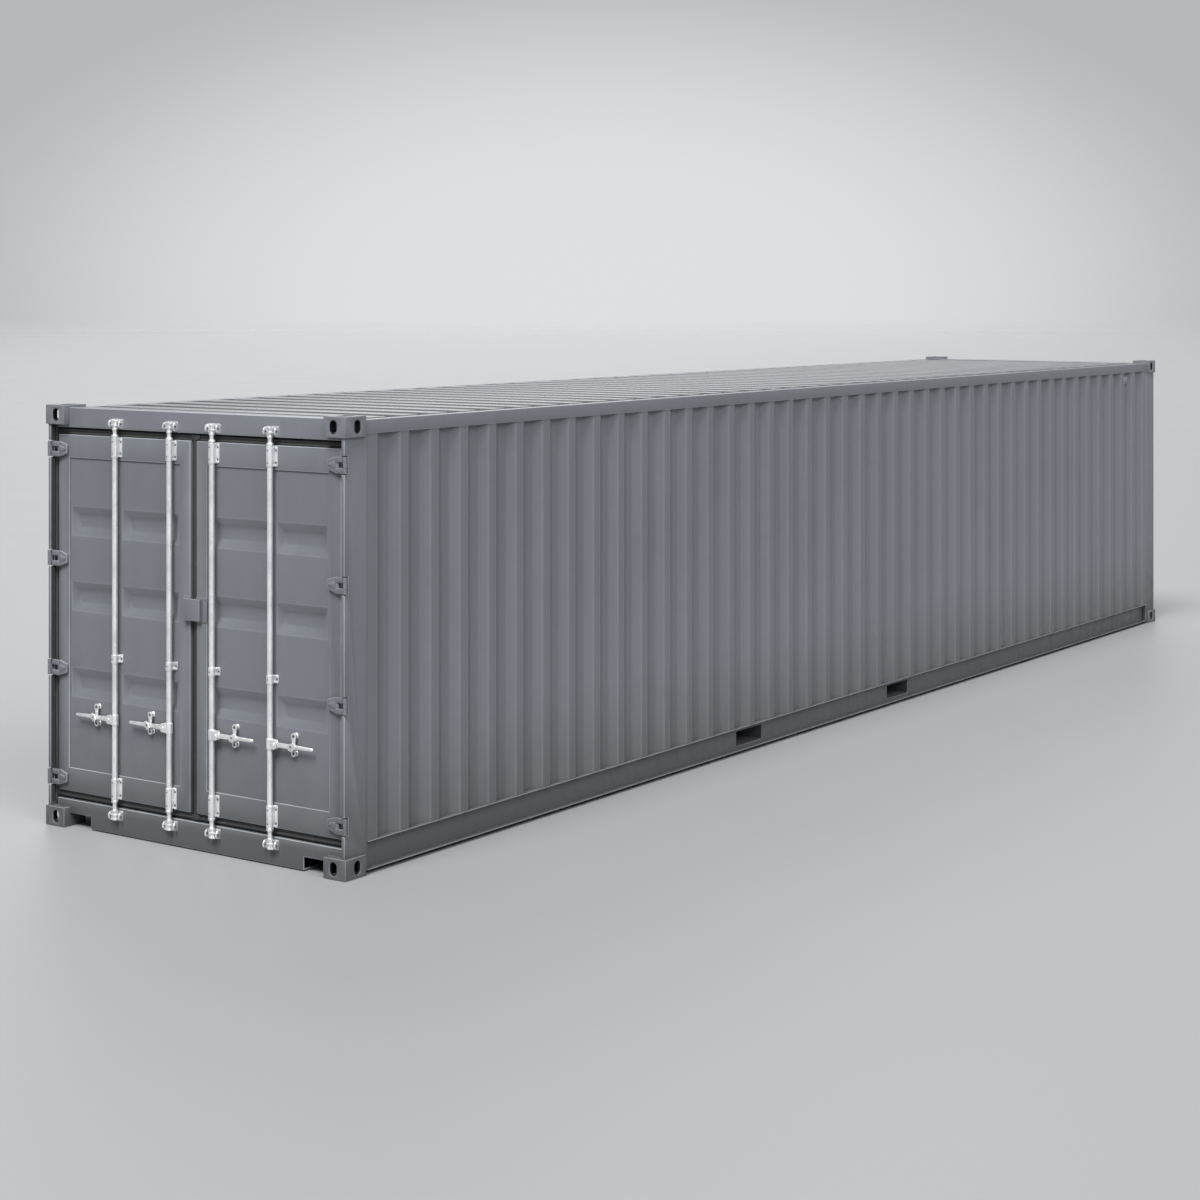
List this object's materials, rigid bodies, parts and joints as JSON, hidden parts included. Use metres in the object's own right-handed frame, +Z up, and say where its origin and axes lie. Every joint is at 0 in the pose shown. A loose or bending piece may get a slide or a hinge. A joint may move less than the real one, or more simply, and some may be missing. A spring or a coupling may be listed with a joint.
{
  "type": "shipping container",
  "caption": "Long dry-freight shipping container with corrugated walls, ribbed roof, hinged cargo doors with lock rods and lift-up handles, corner fittings and forklift pockets.",
  "frame": {"origin": "centre of the footprint, on the ground", "axes": "+Z up, +Y along the length towards the closed end, +X to the right when facing the doors from outside"},
  "size_m": [2.438, 12.192, 2.591],
  "materials": {
    "painted_steel": "satin grey paint",
    "cast_fitting": "painted casting",
    "zinc_steel": "bright zinc plating",
    "seal_rubber": "matte black rubber",
    "deck_plywood": "varnished plywood",
    "underside_coating": "dark underseal"
  },
  "bodies": {
    "container": {"bottom_side_rail_left": "painted_steel", "bottom_side_rail_right": "painted_steel", "corner_fittings_bottom": "cast_fitting", "corner_fittings_top": "cast_fitting", "cross_members": "underside_coating", "door_header": "painted_steel", "door_sill": "painted_steel", "floor": "deck_plywood", "forklift_pockets": "underside_coating", "front_panel": "painted_steel", "front_post_left": "painted_steel", "front_post_right": "painted_steel", "front_sill": "painted_steel", "front_top_rail": "painted_steel", "header_keepers": "zinc_steel", "hinge_mounts_left": "painted_steel", "hinge_mounts_right": "painted_steel", "rear_post_left": "painted_steel", "rear_post_right": "painted_steel", "roof_panel": "painted_steel", "side_panel_left": "painted_steel", "side_panel_right": "painted_steel", "sill_keepers": "zinc_steel", "top_side_rail_left": "painted_steel", "top_side_rail_right": "painted_steel", "vents": "painted_steel"},
    "door_left": {"door_frame_left": "painted_steel", "door_panel_left": "painted_steel", "door_gasket_left": "seal_rubber", "hinge_blades_left": "painted_steel", "rod_guides_left": "zinc_steel", "handle_catches_left": "zinc_steel", "lock_plate_left": "painted_steel"},
    "door_right": {"door_frame_right": "painted_steel", "door_panel_right": "painted_steel", "door_gasket_right": "seal_rubber", "hinge_blades_right": "painted_steel", "rod_guides_right": "zinc_steel", "handle_catches_right": "zinc_steel", "lock_box": "painted_steel"},
    "lock_rod_inner_left": {"lock_rod_inner_left": "zinc_steel"},
    "handle_inner_left": {"handle_inner_left": "zinc_steel"},
    "lock_rod_outer_left": {"lock_rod_outer_left": "zinc_steel"},
    "handle_outer_left": {"handle_outer_left": "zinc_steel"},
    "lock_rod_inner_right": {"lock_rod_inner_right": "zinc_steel"},
    "handle_inner_right": {"handle_inner_right": "zinc_steel"},
    "lock_rod_outer_right": {"lock_rod_outer_right": "zinc_steel"},
    "handle_outer_right": {"handle_outer_right": "zinc_steel"}
  },
  "joints": [
    {"name": "door_left_hinge", "type": "hinge", "parent": "container", "child": "door_left", "pos_m": [-1.203, -6.08, 1.309], "axis": [0, 0, -1], "range_deg": [0, 260]},
    {"name": "door_right_hinge", "type": "hinge", "parent": "container", "child": "door_right", "pos_m": [1.203, -6.08, 1.309], "axis": [0, 0, 1], "range_deg": [0, 260]},
    {"name": "lock_rod_inner_left_turn", "type": "hinge", "parent": "door_left", "child": "lock_rod_inner_left", "pos_m": [-0.174, -6.075, 1.306], "axis": [0, 0, -1], "range_deg": [-100, 0]},
    {"name": "handle_inner_left_lift", "type": "hinge", "parent": "lock_rod_inner_left", "child": "handle_inner_left", "pos_m": [-0.216, -6.079, 0.703], "axis": [0, 1, 0], "range_deg": [0, 25]},
    {"name": "lock_rod_outer_left_turn", "type": "hinge", "parent": "door_left", "child": "lock_rod_outer_left", "pos_m": [-0.633, -6.075, 1.306], "axis": [0, 0, -1], "range_deg": [-100, 0]},
    {"name": "handle_outer_left_lift", "type": "hinge", "parent": "lock_rod_outer_left", "child": "handle_outer_left", "pos_m": [-0.675, -6.079, 0.703], "axis": [0, 1, 0], "range_deg": [0, 25]},
    {"name": "lock_rod_inner_right_turn", "type": "hinge", "parent": "door_right", "child": "lock_rod_inner_right", "pos_m": [0.174, -6.075, 1.306], "axis": [0, 0, 1], "range_deg": [-100, 0]},
    {"name": "handle_inner_right_lift", "type": "hinge", "parent": "lock_rod_inner_right", "child": "handle_inner_right", "pos_m": [0.216, -6.079, 0.703], "axis": [0, -1, 0], "range_deg": [0, 25]},
    {"name": "lock_rod_outer_right_turn", "type": "hinge", "parent": "door_right", "child": "lock_rod_outer_right", "pos_m": [0.633, -6.075, 1.306], "axis": [0, 0, 1], "range_deg": [-100, 0]},
    {"name": "handle_outer_right_lift", "type": "hinge", "parent": "lock_rod_outer_right", "child": "handle_outer_right", "pos_m": [0.675, -6.079, 0.703], "axis": [0, -1, 0], "range_deg": [0, 25]}
  ]
}
